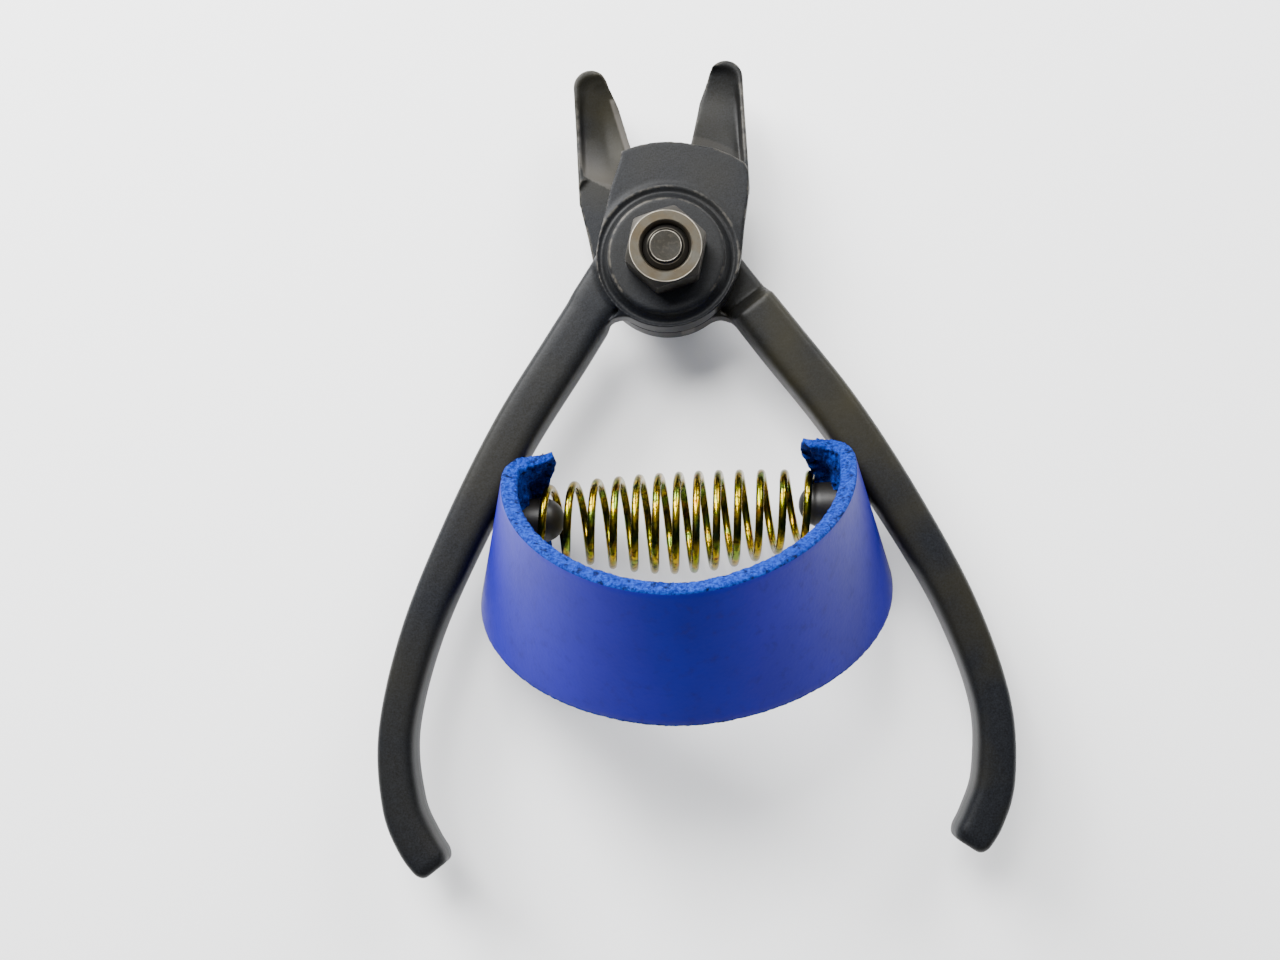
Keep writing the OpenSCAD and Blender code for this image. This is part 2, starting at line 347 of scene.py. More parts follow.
def throat_web():
    """Corner piece between the eye and the handle's inner edge, hollow towards the throat."""
    ahead = np.array(ROOT_DIR)
    aside = np.array([ROOT_DIR[1], -ROOT_DIR[0]])
    shift = WEB_EDGE + aside @ np.array(HANDLE_LINE[3][:2]) + WEB_R
    centre = shift * aside + math.sqrt((EYE_R + WEB_R) ** 2 - shift ** 2) * ahead
    on_eye = centre * EYE_R / (EYE_R + WEB_R)
    on_bar = centre - WEB_R * aside
    a0 = math.atan2(*(on_eye - centre)[::-1])
    a1 = math.atan2(*(on_bar - centre)[::-1])
    turn = (a1 - a0 + math.pi) % (2 * math.pi) - math.pi
    arc = [centre + WEB_R * np.array([math.cos(a0 + turn * k / 8), math.sin(a0 + turn * k / 8)])
           for k in range(9)]
    corner = on_bar * 0.62
    return [(-p[0], p[1]) for p in [corner, *arc]]


def arc_points(radius, start, end, count):
    return [(radius * math.cos(start + (end - start) * k / count),
             radius * math.sin(start + (end - start) * k / count)) for k in range(count + 1)]


def plate_outline(up):
    """Outline of the lap joint's half, from its free side over its end to the jaw's outer edge."""
    free_side = [(-11.6, -3.6), (-12.4, 0.0), (-11.8, 4.2), (-10.4, 8.6), (-9.2, 13.0), (-7.1, 18.4)]
    arc_start = math.atan2(19.34, -7.1)
    inner = arc_points(8.0, 0, math.pi, 20)
    outer_side = [(14.95, 10.7), (13.95, 5.6), (13.1, 0.0), (12.3, -3.2), (10.9, -4.8)]
    if up > 0:
        # the arc flares out a little where it meets the jaw
        arc = arc_points(LAP_R, arc_start, math.acos(5.6 / LAP_R), 24)
        flare = [(9.0, 19.0), (12.1, 17.55), (14.6, 15.85), (15.1, 14.6)]
        return free_side + arc + flare + outer_side + inner
    # the dish of the jaw starts at a crease, so the plate stops there
    arc = arc_points(LAP_R, arc_start, math.pi / 2 - EDGE_ANGLE, 24)
    crease = [(CREASE_OUT * k / 10, (CREASE_AT + CREASE_TURN[1] * CREASE_OUT * k / 10) / CREASE_TURN[0])
              for k in (3, 6, 10)]
    return free_side + arc + crease + [(15.05, 14.0)] + outer_side + inner


def jaw_span(y):
    """Inner and outer edge of the jaw at this distance from the pivot."""
    if y <= KINK[1]:
        low = y * math.tan(EDGE_ANGLE)
    elif y <= NOSE_END[1]:
        low = KINK[0] + (y - KINK[1]) * (NOSE_END[0] - KINK[0]) / (NOSE_END[1] - KINK[1])
    else:
        low = TIP[0] - math.sqrt(max(TIP_R ** 2 - (y - TIP[1]) ** 2, 0))
    high = JAW_OUT
    if y > TIP[1]:
        high = TIP[0] + math.sqrt(max(TIP_R ** 2 - (y - TIP[1]) ** 2, 0))
    return low, high


def dish_margin(x, y):
    """Distance from the foot of the rim, positive inside the dish, which is open at the cutting edge."""
    hollow = (TIP[0] - 0.35, TIP[1] - 0.5)
    tip = np.where(y > hollow[1], TIP_R - 0.5 - np.hypot(x - hollow[0], y - hollow[1]), 9)
    # on the nose the rim of the tip fades out
    round_tip = np.arctan2(y - hollow[1], x - hollow[0])
    fading = 1.7 * smooth_step(1.6, 3.0, round_tip) + 5.0 * smooth_step(2.4, 3.1, round_tip)
    return np.minimum(JAW_OUT - RIM - x, tip + fading)


def barrel_floor(x, y):
    """Floor of a dish that is a barrel laid across the jaw, steepest towards the pivot."""
    c, s = math.cos(BARREL_TURN), math.sin(BARREL_TURN)
    x = x - BARREL_CENTRE[0]
    y = y - BARREL_CENTRE[1]
    aside = c * x + s * y
    ahead = c * y - s * x
    length_r = np.where(ahead < 0, 14.0, 22.0)
    ahead = np.clip(ahead, 0.5 - length_r, length_r - 0.5)
    reach = np.sqrt(np.maximum(BARREL_R ** 2 - aside ** 2, 0)) + length_r - BARREL_R
    return -DISH_DEPTH + length_r - np.sqrt(np.maximum(reach ** 2 - ahead ** 2, 0.01))


def jaw_back(x, y):
    """Height of a jaw's back, a shallow bowl that is thinned towards the cutting edge."""
    chamfer = 0.9 * np.maximum(0, 2.4 - edge_distance(x, y))
    return -5.3 + (y - 27) ** 2 / 54 + (x - 10.1) ** 2 / 19 + chamfer


def jaw_rings(up):
    """Rings across a jaw, each with its dish first and its back after it."""
    tip_rows = TIP[1] + TIP_R * np.sin(np.linspace(0, 1.52, 18))
    rows = np.concatenate([np.arange(11.5, TIP[1], 0.3), tip_rows])
    across = 0.5 - 0.5 * np.cos(np.linspace(0, np.pi, 45))
    rings = []
    for row in rows:
        low, high = jaw_span(row)
        x = low + (high - low) * across
        y = np.full(len(x), row)
        r = np.hypot(x, y)
        under = jaw_back(x, y)
        margin = dish_margin(x, y)
        if up > 0:
            rim = np.interp(y, *FRONT_RIM)
            floor = 1.9 - 0.62 * (r - LAP_R) + 0.031 * (r - LAP_R) ** 2
            foot = 0.35
        else:
            rim = np.interp(y, *BACK_RIM)
            floor = barrel_floor(x, y)
            # the floor curls up towards the rim
            curl = 0.6 * (1 - smooth_step(0, 5.0, margin))
            floor = floor + np.maximum(0, rim - 0.6 - floor) * curl
            foot = 0.7
        wall = np.clip(1 - margin / (foot + 0.9 * smooth_step(28, 33, y)), 0, 1) ** 2
        z = np.minimum(floor, rim)
        z = z + (rim - z) * wall
        if up > 0:
            lap = smooth_step(SWEEP_R - 0.2, SWEEP_R + 0.3, r)
            under = LAP_GAP + (np.minimum(under, z - LEAST_WALL) - LAP_GAP) * lap
        else:
            under = np.minimum(under, z - EDGE_WALL)
            cut = edge_distance(x, y)
            ground = np.clip(1 - cut / GROUND_W, 0, 1) * smooth_step(KINK[1] + 1.4, KINK[1] - 1.2, y)
            z = z - GROUND_DROP * ground
            z = np.where(r < SWEEP_R, np.minimum(z, -LAP_GAP), z)
        rings.append(list(zip(x, y, z)) + list(zip(x, y, under))[::-1])
    return rings


def boss_profile(up):
    """Raised seat under the nut or the bolt head, as a closed profile round the bore."""
    rows = [(BORE_R, LAP_GAP), (EYE_R, LAP_GAP), (EYE_R, LAP_T), (11.2, LAP_T), (10.6, 6.1),
            (10.3, 7.1), (10.0, BOSS_TOP), (BORE_R, BOSS_TOP)]
    return [(r, up * h) for r, h in rows]


def mark_ground_and_painted_light(mesh, points, up):
    """Stores where a forging is painted lighter: painted light at the start of its dish, where its slope
    faces the light, and the ground cutting edge.
    """
    x, y, z = points.T
    cut = edge_distance(x, y)
    in_dish = (x < JAW_OUT - 0.5) & (cut > 0.2) & (y > 0)
    if up > 0:
        past = np.hypot(x, y) - LAP_R
        # painted light where the dish starts past the arc
        ground_and_painted_light = 0.16 * np.exp(-(past / 4) ** 2) * in_dish * (past > 0) * (z > 0.35) * (z < 3.3)
    else:
        past = past_crease(x, y)
        # painted light where the dish starts past the crease
        dish = 0.45 * np.exp(-((past - 1.0) / 3.5) ** 2) * in_dish * (past > 0) * (z > -3.3) * (z < 0.1)
        strip = smooth_step(GROUND_W + 0.25, GROUND_W - 0.15, cut) * smooth_step(-4.1, -3.6, z)
        strip = strip * smooth_step(KINK[1] + 1.8, KINK[1] + 1.2, y) * smooth_step(-1.4, -1.0, cut)
        ground_and_painted_light = np.maximum(dish, strip)
    store(mesh, "ground_and_painted_light", ground_and_painted_light)


def forge_lever(name, up):
    """A lever as one skin, with rounded forged edges, a seat for the nut or head, and marks for worn
    edges, a painted highlight on the seat's rim, painted shade in corners, painted light in the dishes and
    the ground cutting edge.
    """
    shells = Shells()
    shells.loft(handle_rings(up))
    shells.prism(plate_outline(up), *sorted((up * LAP_GAP, up * LAP_T)))
    shells.prism(throat_web(), *sorted((up * 0.3, up * HANDLE_T)))
    shells.loft(jaw_rings(up))
    shells.lathe(boss_profile(up), 160, closed=True)
    piece = shells.piece(name)
    mesh = fuse(piece, SKIN_CELL)
    points = read_points(mesh)
    edges = read_edges(mesh)
    r = np.hypot(points[:, 0], points[:, 1])
    lap_face = np.abs(points[:, 2]) < 0.6
    share = np.where((r < BORE_KEEP_R) | (lap_face & (r < LAP_R + 1)), 0.0, 0.5)
    points = relax(points, edges, share, 4)
    # the handle and the throat are softer than the lap joint and the jaws
    soft = share * smooth_step(12.2, 15.0, r) * (points[:, 1] < 6)
    points = relax(points, edges, soft, 9)
    # so are the cutting edges, and the back lever's crease where it meets the rim
    cut = edge_distance(points[:, 0], points[:, 1])
    edge = 0.6 * (np.abs(cut) < 0.7) * (r > LAP_R + 1) * (points[:, 1] > 0)
    from_end = np.hypot(points[:, 0] - CREASE_END[0], points[:, 1] - CREASE_END[1])
    crease_end = np.exp(-(from_end / 1.6) ** 2) * (up < 0)
    points = relax(points, edges, share * np.maximum(edge, crease_end), 8)
    # groove and ridge round the boss
    outer = smooth_step(3.6, 4.6, up * points[:, 2])
    relief = (0.25 * np.exp(-((r - 12.5) / 0.6) ** 2) - 0.18 * np.exp(-((r - 11.6) / 0.6) ** 2)
              + 0.15 * np.exp(-((r - 10.75) / 0.3) ** 2))
    points[:, 2] += up * relief * outer
    placed = points * [up, 1, 1]
    write_points(mesh, placed + [0, 0, MID])
    if up < 0:
        mesh.flip_normals()
    # the seat's rim is worn and gets a painted highlight, strongest on its left where the light comes
    # from, and the throat is not worn at all
    seat_rim_highlight = np.exp(-((r - SEAT_RIM_R) / 0.16) ** 2) * (up * points[:, 2] > 6)
    seat_rim_highlight = seat_rim_highlight * (0.26 - 0.02 * placed[:, 0])
    throat = smooth_step(-6.5, -8.5, points[:, 1]) * (r < 18)
    mark_edges(mesh, edges, seat_rim_highlight - throat)
    mark_ground_and_painted_light(mesh, points, up)
    return piece


# --- nut, bolt and studs -----------------------------------------------------------------

HEX_SIDES = 180
CORNER_R = NUT_AF / math.sqrt(3) - 0.12
FACE_R = 6.15
CONE_SLOPE = 0.58
NUT_RIM = 6.12
BOLT_RIMS = (2.66, 3.12)


def hex_radius(angle):
    """Distance from the axis to the side of the hexagon, with its corners just rounded off."""
    side = math.radians(60)
    off = (angle + side / 2) % side - side / 2
    return min(NUT_AF / 2 / math.cos(side / 2 - abs(off)), CORNER_R)


def hex_ring(turn, fall, height, down):
    """Ring of the hexagon's sides, drawn in by fall. down lowers its corners (1) or raises them (-1)."""
    ring = []
    for k in range(HEX_SIDES):
        a = 2 * math.pi * k / HEX_SIDES
        r = hex_radius(a) - fall
        drop = max(0.0, r - FACE_R) * CONE_SLOPE
        ring.append((r * math.cos(a + turn), r * math.sin(a + turn), height - down * drop))
    return ring


def round_ring(r, h):
    return [(r * math.cos(2 * math.pi * k / HEX_SIDES), r * math.sin(2 * math.pi * k / HEX_SIDES), h)
            for k in range(HEX_SIDES)]


def make_nut():
    """Hexagon nut with turned-down corners, a flat end face and a countersunk thread."""
    turn = math.radians(15)
    base = MID + BOSS_TOP
    top = base + NUT_H
    rings = [
        round_ring(BOLT_R + 0.05, base + 0.4),
        round_ring(BOLT_R + 0.05, top - 1.1),
        round_ring(BOLT_R + 0.2, top - 0.65),
        round_ring(BOLT_R + 0.42, top - 0.12),
        round_ring(BOLT_R + 0.6, top),
        round_ring(5.2, top),
        round_ring(FACE_R, top),
        hex_ring(turn, 0.12, top, 1),
        hex_ring(turn, 0, top - 0.08, 1),
        hex_ring(turn, 0, base + 0.3, -1),
        hex_ring(turn, 0.3, base + 0.04, -1),
        round_ring(5.9, base + 0.02),
        round_ring(BOLT_R + 0.4, base + 0.02),
    ]
    shells = Shells()
    shells.loft(rings, closed=True)
    return shells.piece("pivot_nut_turned")


def make_bolt():
    """Bolt with a hexagon head, the turns of its thread that show in the nut, and a turned end."""
    end = MID + BOSS_TOP + NUT_H
    shells = Shells()
    shells.loft([
        round_ring(5.6, 0.0),
        round_ring(5.9, 0.03),
        hex_ring(0, 0.12, 0.1, -1),
        hex_ring(0, 0, 0.2, -1),
        hex_ring(0, 0, HEAD_H - 0.3, 0),
        hex_ring(0, 0.25, HEAD_H, 0),
        round_ring(BOLT_R, HEAD_H),
        round_ring(BOLT_R, end - 3.0),
        round_ring(BOLT_R - 0.5, end - 2.7),
        round_ring(BOLT_R - 0.02, end - 2.3),
        round_ring(BOLT_R - 0.02, end - 2.1),
        round_ring(BOLT_R - 0.5, end - 1.75),
        round_ring(BOLT_R - 0.05, end - 1.35),
        round_ring(BOLT_R - 0.1, end - 1.15),
        round_ring(3.3, end - 0.6),
        round_ring(BOLT_RIMS[1], end - 0.35),
        round_ring(BOLT_RIMS[0], end),
        round_ring(2.4, end - 0.01),
        round_ring(1.2, end - 0.03),
    ])
    return shells.piece("pivot_bolt_forged")


def make_stud(name, side):
    """Domed stud that stands in the handle and holds the spring's end."""
    dome = [(STUD_R * math.sin(a), -STUD_R * math.cos(a)) for a in np.linspace(0.12, math.pi / 2, 14)]
    shells = Shells()
    shells.lathe(dome + [(STUD_R, 3.0), (STUD_R - 0.1, 7.4), (3.2, 7.9)], 64)
    turn = np.array([[0, 0, side], [0, 1, 0], [-side, 0, 0]], float)
    return shells.piece(name, lambda p: p @ turn.T + [side * STUD_IN, -STUD_Y, MID])


# --- spring ---------------------------------------------------------------------------------

TURNS = 13
WIRE_R = 0.7
SPRING_LEN = 51.6
SPRING_END_D = 11.6
SPRING_MID_D = 18.0
SPRING_BOW = 1.8
SPREAD = 0.11
WIRE_SIDES = 14
TURN_STEPS = 44


def spring_points(shares):
    """Middle line of the wire at these shares of its turns: a barrel that bows towards the handle ends."""
    swell = np.sin(np.pi * shares) ** 0.8
    radius = (SPRING_END_D + (SPRING_MID_D - SPRING_END_D) * swell) / 2 - WIRE_R
    angle = np.pi * (1 - 2 * TURNS * shares)
    u = 2 * shares - 1
    return np.stack([
        ((1 - SPREAD) * u + SPREAD * u ** 3) * (SPRING_LEN / 2 - WIRE_R),
        -STUD_Y - SPRING_BOW * np.sin(np.pi * shares) + radius * np.cos(angle),
        MID + radius * np.sin(angle),
    ], 1)


def make_spring():
    """One wire with rounded ends, wound as a barrel along X."""
    line = spring_points(np.linspace(0, 1, TURNS * TURN_STEPS + 1))
    ahead = np.gradient(line, axis=0)
    ahead /= np.linalg.norm(ahead, axis=1)[:, None]
    side = np.cross(ahead, [1, 0, 0])
    side /= np.linalg.norm(side, axis=1)[:, None]
    out = np.cross(side, ahead)
    turns = np.linspace(0, 2 * np.pi, WIRE_SIDES, endpoint=False)
    rings = [[line[i] + WIRE_R * (math.cos(a) * side[i] + math.sin(a) * out[i]) for a in turns]
             for i in range(len(line))]
    first = [line[0] + (p - line[0]) * 0.8 - ahead[0] * 0.12 for p in rings[0]]
    last = [line[-1] + (p - line[-1]) * 0.8 + ahead[-1] * 0.12 for p in rings[-1]]
    shells = Shells()
    shells.loft([first, *rings, last])
    return shells.piece("return_spring_wound")


# --- finger strap ------------------------------------------------------------------------------

# STRAP_END, TAB_START and TONGUE_START are degrees round the loop, from the bottom of the loop.
STRAP_W = 26.0
STRAP_T = 2.8
STRAP_END = 137.0
LOOP_HALF = 31.6
LOOP_WIDE = 5.0
LOOP_DEPTH = 38.0
TAB_RISE = 11.0
LOOP_TILT = math.radians(56)
LEAN = math.radians(53)
FLARE = 0.26
TAB_START = 95
TONGUE = 3.2
TONGUE_START = 110
CORNER_CUT = 3.4
FRAY = 0.9
ROUNDING = 0.5
DEEP = np.array([0, -math.cos(LOOP_TILT), math.sin(LOOP_TILT)])


def loop_points(angles):
    """Middle line of the strap at these angles, from 0 at the bottom of the loop to a tab each way."""
    s = np.sin(np.radians(angles))
    c = np.cos(np.radians(angles))
    reach = LOOP_WIDE + np.where(c > 0, LOOP_DEPTH, TAB_RISE) * c
    seat = np.stack([LOOP_HALF * np.sign(s) * np.abs(s) ** 1.1,
                     np.full(len(s), -STUD_Y), np.full(len(s), MID)], 1)
    return seat + reach[:, None] * DEEP


def strap_section():
    """Points round the strap: place across its width and through its thickness, and its roughness."""
    w, t, r = STRAP_W / 2, STRAP_T / 2, ROUNDING
    rows = [(v, t, 0.0) for v in np.linspace(-w + r, w - r, 30)]
    rows += [(w - r + r * math.sin(a), t - r + r * math.cos(a), 0.6) for a in (0.5, 1.0)]
    rows += [(w, h, 1.0) for h in np.linspace(t - r, -t + 0.35, 7)]
    rows += [(v, -t, 1.0) for v in np.linspace(w - 0.3, -w + 0.3, 64)]
    rows += [(-w, h, 1.0) for h in np.linspace(-t + 0.35, t - r, 7)]
    rows += [(-w + r - r * math.sin(a), t - r + r * math.cos(a), 0.6) for a in (1.0, 0.5)]
    return np.array(rows)


def make_strap():
    """One leather strip with a smooth outside, torn ends, and fibres on its cut edges and inside."""
    angles = np.linspace(-STRAP_END, STRAP_END, 520)
    middle = loop_points(angles)
    along = loop_points(angles + 1) - loop_points(angles - 1)
    along /= np.linalg.norm(along, axis=1)[:, None]
    raw = np.stack([-FLARE * middle[:, 0] / LOOP_HALF,
                    np.full(len(angles), math.sin(LEAN)),
                    np.full(len(angles), math.cos(LEAN))], 1)
    width = raw - (raw * along).sum(1)[:, None] * along
    width /= np.linalg.norm(width, axis=1)[:, None]
    out = np.cross(along, width)
    section = strap_section()
    grid = (middle[:, None] + section[None, :, 0:1] * width[:, None]
            + section[None, :, 1:2] * out[:, None])
    # a tab ends in a round tongue, and the spring's end holds it flat against the handle
    v = section[None, :, 0] / (STRAP_W / 2)
    curl = (np.maximum(0, np.abs(angles) - TONGUE_START)[:, None] / (STRAP_END - TONGUE_START)) ** 2
    torn = [[noise.noise(Vector((a * 9.0, end, 0))) for a in v[0]] for end in (-3.0, 3.0)]
    frayed = np.where(angles[:, None] < 0, torn[0], torn[1])
    corner = CORNER_CUT * np.maximum(0, (v - 0.7) / 0.3) ** 1.4
    tongue = curl * (TONGUE * (1 - np.where(v < 0, 1.25, 1.0) * v ** 2) - corner + FRAY * frayed)
    grid -= tongue[..., None] * DEEP
    above = np.maximum(0, grid[..., 1] + STUD_Y - SPRING_END_D / 2)
    least = SPRING_LEN / 2 + 0.6 + STRAP_T / 2 + section[None, :, 1] - 1.2 * above
    held = np.copysign(np.maximum(np.abs(grid[..., 0]), least), grid[..., 0])
    grid[..., 0] = np.where(np.abs(angles)[:, None] > TAB_START, held, grid[..., 0])
    # fibres of the cut edges and the flesh side, longest at the tabs' ends
    for i in range(len(angles)):
        ragged = 0.2 + 0.4 * smooth_step(90, STRAP_END, np.array([abs(angles[i])]))[0]
        for k, (v, h, rough) in enumerate(section):
            if rough == 0:
                continue
            p = Vector(grid[i, k])
            push = ragged * rough * (noise.noise(p * 0.9) + 0.8 * noise.noise(p * 2.3))
            edge = abs(v) > STRAP_W / 2 - 0.4
            way = math.copysign(1, v) * width[i] if edge else -out[i]
            grid[i, k] += push * way
    rings = list(grid)
    # rounded ends
    for end, step in ((0, -1), (-1, 1)):
        ring = rings[end]
        inward = (middle[end] - ring) - ((middle[end] - ring) @ width[end])[:, None] * width[end]
        closing = [ring + inward * (1 - keep) * 4 + step * along[end] * 0.16 * (k + 1)
                   for k, keep in enumerate((0.99, 0.96, 0.9))]
        rings = closing[::-1] + rings if end == 0 else rings + closing
    shells = Shells()
    shells.loft(rings)
    piece = shells.piece("finger_strap_leather")
    smooth_face = section[:, 2] == 0
    count = len(section)
    flesh = [0 if smooth_face[k] and smooth_face[(k + 1) % count] else 1 for k in range(count)]
    for polygon in piece.data.polygons:
        polygon.material_index = flesh[polygon.index % count] if len(polygon.vertices) == 4 else 1
    return piece


# --- finishes --------------------------------------------------------------------------------------

class Wire:
    """A socket of a material. Arithmetic on it adds Math nodes."""

    def __init__(self, tree, socket):
        self.tree = tree
        self.socket = socket

    def _join(self, operation, first, second):
        node = self.tree.nodes.new("ShaderNodeMath")
        node.operation = operation
        for slot, value in zip(node.inputs, (first, second)):
            if isinstance(value, Wire):
                self.tree.links.new(value.socket, slot)
            else:
                slot.default_value = value
        return Wire(self.tree, node.outputs[0])

    def __add__(self, other):
        return self._join("ADD", self, other)

    __radd__ = __add__

    def __mul__(self, other):
        return self._join("MULTIPLY", self, other)

    __rmul__ = __mul__

    def __sub__(self, other):
        return self._join("SUBTRACT", self, other)

    def __rsub__(self, other):
        return self._join("SUBTRACT", other, self)

    def __pow__(self, other):
        return self._join("POWER", self, other)


class Finish:
    """A material while it is wired."""

    def __init__(self, name):
        self.material = bpy.data.materials.new(name)
        self.material.use_nodes = True
        self.tree = self.material.node_tree
        self.tree.nodes.clear()

    def node(self, kind, settings=None, sockets=None, out=0):
        """Adds a node, sets its settings, fills its sockets with values or wires, and gives one output."""
        made = self.tree.nodes.new(kind)
        for name, value in (settings or {}).items():
            setattr(made, name, value)
        for name, value in (sockets or {}).items():
            if isinstance(value, Wire):
                self.tree.links.new(value.socket, made.inputs[name])
            else:
                made.inputs[name].default_value = value
        return Wire(self.tree, made.outputs[out]) if made.outputs else None

    def place(self):
        """The point on the piece at rest, in metres."""
        return self.node("ShaderNodeTexCoord", out=3)

    def speckle(self, scale, detail=2.0, rough=0.5):
        """Soft spots, this many to a metre."""
        return self.node("ShaderNodeTexNoise", None, {
            "Vector": self.place(), "Scale": scale, "Detail": detail, "Roughness": rough})

    def cells(self, scale):
        """Distance from the middle of each cell, with this many cells to a metre."""
        return self.node("ShaderNodeTexVoronoi", None, {"Vector": self.place(), "Scale": scale})

    def ramp(self, value, low, high):
        """0 below low and 1 above high, in a straight line between them."""
        return self.node("ShaderNodeMapRange", {"clamp": True}, {
            "Value": value, "From Min": low, "From Max": high})

    def mark(self, name):
        """A value that the mesh stores at each point."""
        return self.node("ShaderNodeAttribute", {"attribute_name": name}, out=2)

    def mix(self, first, second, share):
        """A colour between two others, each a triple or a wire."""
        colours = {6: first, 7: second}
        colours = {k: v if isinstance(v, Wire) else (*v, 1) for k, v in colours.items()}
        return self.node("ShaderNodeMix", {"data_type": "RGBA"}, {0: share, **colours}, out=2)

    def part(self, vector, axis):
        """The X, Y or Z of a vector."""
        return self.node("ShaderNodeSeparateXYZ", None, {"Vector": vector}, out=axis)

    def bump(self, height, depth, strength):
        """Normal of a surface with this relief, whose full height is depth millimetres."""
        return self.node("ShaderNodeBump", None, {
            "Height": height, "Distance": depth * MM, "Strength": strength})

    def surface(self, sockets):
        """The material, once its shader has these values and wires."""
        shader = self.node("ShaderNodeBsdfPrincipled", None, sockets)
        self.node("ShaderNodeOutputMaterial", None, {"Surface": shader})
        return self.material


def rgb(red, green, blue):
    """Linear colour of an sRGB one."""
    return tuple(((c / 255 + 0.055) / 1.055) ** 2.4 if c > 10 else c / 255 / 12.92
                 for c in (red, green, blue))


def forged_steel(name, warm):
    """Dark oxide on a forging: fine grain, brown haze, worn edges with a painted highlight on the seat's
    rim, painted shade in concave corners, painted light where each dish starts, and a light ground cutting
    edge.
    """
    f = Finish(name)
    grain = f.speckle(3600, 2, 0.7)
    pits = f.speckle(1100, 3, 0.6)
    haze = f.speckle(45, 3, 0.5)
    wear_and_highlight = f.mark("wear_and_highlight")
    corner_shade = f.mark("corner_shade")
    dark = f.mix(rgb(7, 7, 8), rgb(25, 27, 31), f.ramp(grain, 0.3, 0.7))
    brown = f.mix(dark, rgb(36, 33, 20), f.ramp(haze, 0.42, 0.7) * warm)
    # painted shade: concave corners are darkened
    corner = f.mix(brown, rgb(14, 14, 12), f.ramp(corner_shade, 0.3, 1.0) * 0.4)
    spots = f.ramp(f.speckle(420, 4, 0.7), 0.36, 0.6)
    # worn edges, plus the painted highlight on the seat's rim, made lighter
    worn_and_highlit = f.ramp(wear_and_highlight * (spots * 0.7 + 0.3) + pits * 0.6 - 0.3, 0.28, 0.85)
    colour = f.mix(corner, rgb(92, 88, 80), worn_and_highlit * 0.6)
    # painted light at the start of each dish, and the ground cutting edge
    colour = f.mix(colour, rgb(78, 75, 70), f.mark("ground_and_painted_light"))
    return f.surface({
        "Base Color": colour,
        "Metallic": 0.0,
        "Roughness": 0.42 - worn_and_highlit * 0.1,
        "Specular IOR Level": 0.12,
        "Normal": f.bump(grain * 0.5 + pits, 0.05, 0.6),
    })


def bare_steel(name, base, tint, rough, rims):
    """Turned end face with painted highlight lines along its edges at these radii in millimetres, and dark
    sides past the last.
    """
    f = Finish(name)
    x = f.part(f.place(), "X")
    y = f.part(f.place(), "Y")
    from_axis = (x * x + y * y) ** 0.5 * (1 / MM)
    rings = f.node("ShaderNodeTexNoise", {"noise_dimensions": "1D"}, {
        "W": from_axis * 9, "Scale": 1.0, "Detail": 2.0})
    haze = f.speckle(260, 3, 0.55)
    spots = f.speckle(1500, 2, 0.6)
    colour = f.mix(base, tint, f.ramp(haze, 0.35, 0.65) * 0.8)
    colour = f.mix(colour, rgb(52, 48, 42), f.ramp(spots, 0.5, 0.8) * 0.6)
    colour = f.mix(colour, rgb(58, 56, 52), f.ramp(from_axis, rims[-1], rims[-1] + 0.05))
    # painted highlights: light lines along the turned edges
    for radius in rims:
        inner_side = f.ramp(from_axis, radius - 0.1, radius - 0.03)
        line = inner_side * f.ramp(from_axis, radius + 0.1, radius + 0.03)
        colour = f.mix(colour, rgb(150, 144, 132), line * f.ramp(haze, 0.3, 0.6))
    return f.surface({
        "Base Color": colour,
        "Metallic": 0.9,
        "Roughness": rough + 0.14 * haze,
        "Normal": f.bump(rings + spots * 0.4, 0.02, 0.6),
    })


def black_oxide(name):
    """Even black finish of the studs."""
    f = Finish(name)
    grain = f.speckle(1800, 2, 0.6)
    return f.surface({
        "Base Color": f.mix(rgb(12, 11, 10), rgb(28, 25, 20), grain),
        "Metallic": 0.2,
        "Roughness": 0.4 + 0.1 * grain,
        "Normal": f.bump(grain, 0.02, 0.4),
    })


def plated_wire(name):
    """Yellow passivated zinc, which drifts from gold to olive, green and rose, with dark streaks."""
    f = Finish(name)
    patches = f.speckle(260, 2, 0.5)
    bands = f.speckle(620, 1, 0.5)
    streaks = f.speckle(1500, 3, 0.6)
    gold = f.mix(rgb(168, 126, 2), rgb(100, 100, 6), f.ramp(patches, 0.42, 0.6))
    rose = f.mix(gold, rgb(140, 56, 12), f.ramp(bands, 0.6, 0.72) * 0.5)
    green = f.mix(rose, rgb(70, 116, 44), f.ramp(1 - patches, 0.5, 0.62) * 0.8)
    colour = f.mix(green, rgb(16, 15, 6), f.ramp(streaks, 0.52, 0.62) * 0.85)
    return f.surface({
        "Base Color": colour,
        "Metallic": 1.0,
        "Roughness": 0.16 + 0.12 * streaks,
        "Normal": f.bump(streaks, 0.012, 0.4),
    })


def dyed_leather(name):
    """Smooth grain side of the strap."""
    f = Finish(name)
    pores = f.cells(1500)
    creases = f.speckle(500, 4, 0.6)
    drift = f.speckle(38, 3, 0.5)
    colour = f.mix(rgb(6, 0, 112), rgb(12, 1, 132), f.ramp(drift, 0.35, 0.65))
    colour = f.mix(colour, rgb(4, 0, 76), f.ramp(creases, 0.55, 0.8) * 0.5)
    return f.surface({
        "Base Color": colour,
        "Roughness": 0.42 + 0.1 * creases,
        "Normal": f.bump(pores * 0.6 + creases, 0.05, 0.4),
        "Specular IOR Level": 0.25,
    })


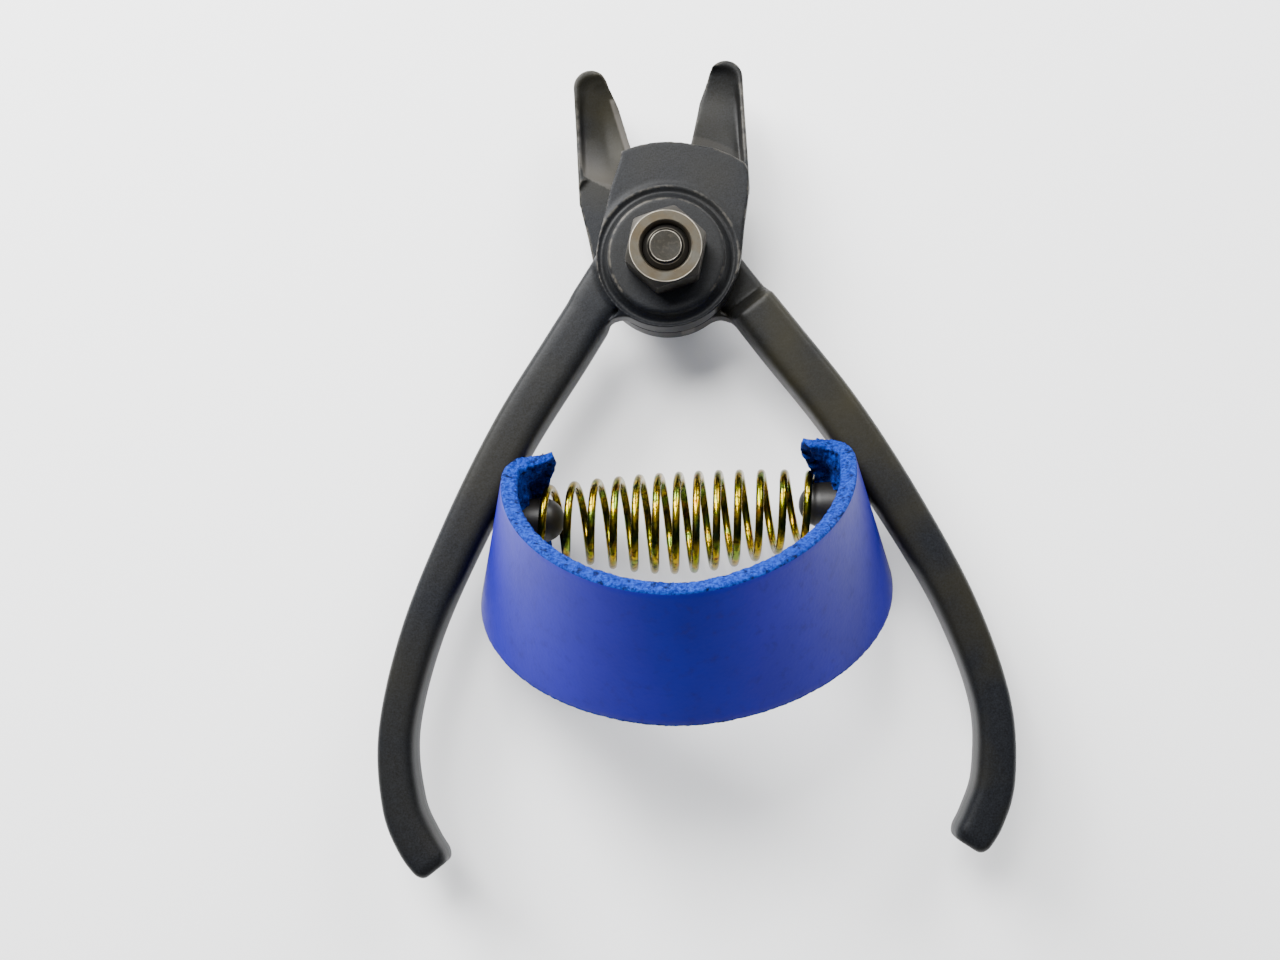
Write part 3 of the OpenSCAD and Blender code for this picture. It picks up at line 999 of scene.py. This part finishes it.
def rough_leather(name):
    """Flesh side and cut edges: pale blue fibres with dark hollows."""
    f = Finish(name)
    fibres = f.speckle(1700, 4, 0.7)
    holes = f.speckle(700, 3, 0.65)
    drift = f.speckle(120, 2, 0.5)
    colour = f.mix(rgb(3, 16, 88), rgb(20, 58, 154), f.ramp(fibres, 0.38, 0.62))
    colour = f.mix(colour, rgb(6, 28, 104), f.ramp(drift, 0.5, 0.75) * 0.5)
    colour = f.mix(colour, rgb(4, 9, 34), f.ramp(holes, 0.55, 0.66) * 0.9)
    return f.surface({
        "Base Color": colour,
        "Roughness": 0.92,
        "Normal": f.bump(fibres + holes, 0.4, 0.9),
        "Specular IOR Level": 0.1,
    })


# --- pieces on their bodies ---------------------------------------------------------------------------

def finish_piece(piece, materials, sharp=None):
    """Gives a piece its materials and smooth shading, with edges kept sharp past this many degrees."""
    mesh = piece.data
    for material in materials:
        mesh.materials.append(material)
    mesh.polygons.foreach_set("use_smooth", [True] * len(mesh.polygons))
    if sharp:
        mesh.set_sharp_from_angle(angle=math.radians(sharp))
    mesh.update()


front = forge_lever("front_lever_forged", 1)
back = forge_lever("back_lever_forged", -1)
finish_piece(front, [forged_steel("front_oxide", 0.3)])
finish_piece(back, [forged_steel("back_oxide", 0.9)])
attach(front, "front_side")
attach(back, "back_side")
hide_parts("front_lever")
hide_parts("back_lever")

nut = make_nut()
bolt = make_bolt()
finish_piece(nut, [bare_steel("nut_bare", rgb(62, 60, 54), rgb(56, 46, 29), 0.42, [NUT_RIM])], 28)
finish_piece(bolt, [bare_steel("bolt_bare", rgb(34, 33, 30), rgb(26, 24, 18), 0.36, BOLT_RIMS)], 28)
for piece, node, slot in ((nut, "pivot_nut", "nut_steel"), (bolt, "pivot_bolt", "bolt_steel")):
    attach(piece, "front_side")
    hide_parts(node)

black = black_oxide("stud_oxide")
for side, label, body in ((-1, "left", "front_side"), (1, "right", "back_side")):
    stud = make_stud(f"{label}_stud_turned", side)
    finish_piece(stud, [black], 40)
    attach(stud, body)
    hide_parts(f"{label}_spring_stud")

spring = make_spring()
finish_piece(spring, [plated_wire("spring_plating")])
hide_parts("return_spring")
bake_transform(spring)

strap = make_strap()
finish_piece(strap, [dyed_leather("strap_grain"), rough_leather("strap_flesh")])
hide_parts("finger_strap")
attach(strap, "spring_and_strap")
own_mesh(strap)


# --- studio ----------------------------------------------------------------------------------------------

def make_floor():
    """Pale sheet just under the clippers."""
    shells = Shells()
    reach = 900.0
    shells.loft([[(-reach, -reach, z), (reach, -reach, z), (reach, reach, z), (-reach, reach, z)]
                 for z in (-4.0, -0.02)])
    floor = shells.piece("floor")
    f = Finish("floor_paper")
    tone = f.mix((0.86, 0.86, 0.86), (0.9, 0.9, 0.9), f.speckle(6))
    finish_piece(floor, [f.surface({"Base Color": tone, "Roughness": 0.9})], 30)


def soft_light(name, place, size, power):
    """Rectangular lamp at this place in metres, aimed at the pivot."""
    data = bpy.data.lights.new(name, "AREA")
    data.shape = "RECTANGLE"
    data.size, data.size_y = size
    data.energy = power
    lamp = bpy.data.objects.new(name, data)
    lamp.location = place
    lamp.rotation_mode = "QUATERNION"
    lamp.rotation_quaternion = (-Vector(place)).to_track_quat("-Z", "Y")
    bpy.context.scene.collection.objects.link(lamp)


def make_world():
    world = bpy.data.worlds.new("studio")
    world.use_nodes = True
    background = world.node_tree.nodes["Background"]
    background.inputs["Color"].default_value = (0.92, 0.95, 1.0, 1)
    background.inputs["Strength"].default_value = 0.45
    bpy.context.scene.world = world


make_floor()
make_world()
soft_light("key", (-0.42, 0.5, 0.42), (0.45, 0.45), 20)
soft_light("fill", (0.4, 0.5, 0.4), (0.4, 0.4), 7)
soft_light("over", (-0.14, 0.36, 0.7), (0.36, 0.3), 10)
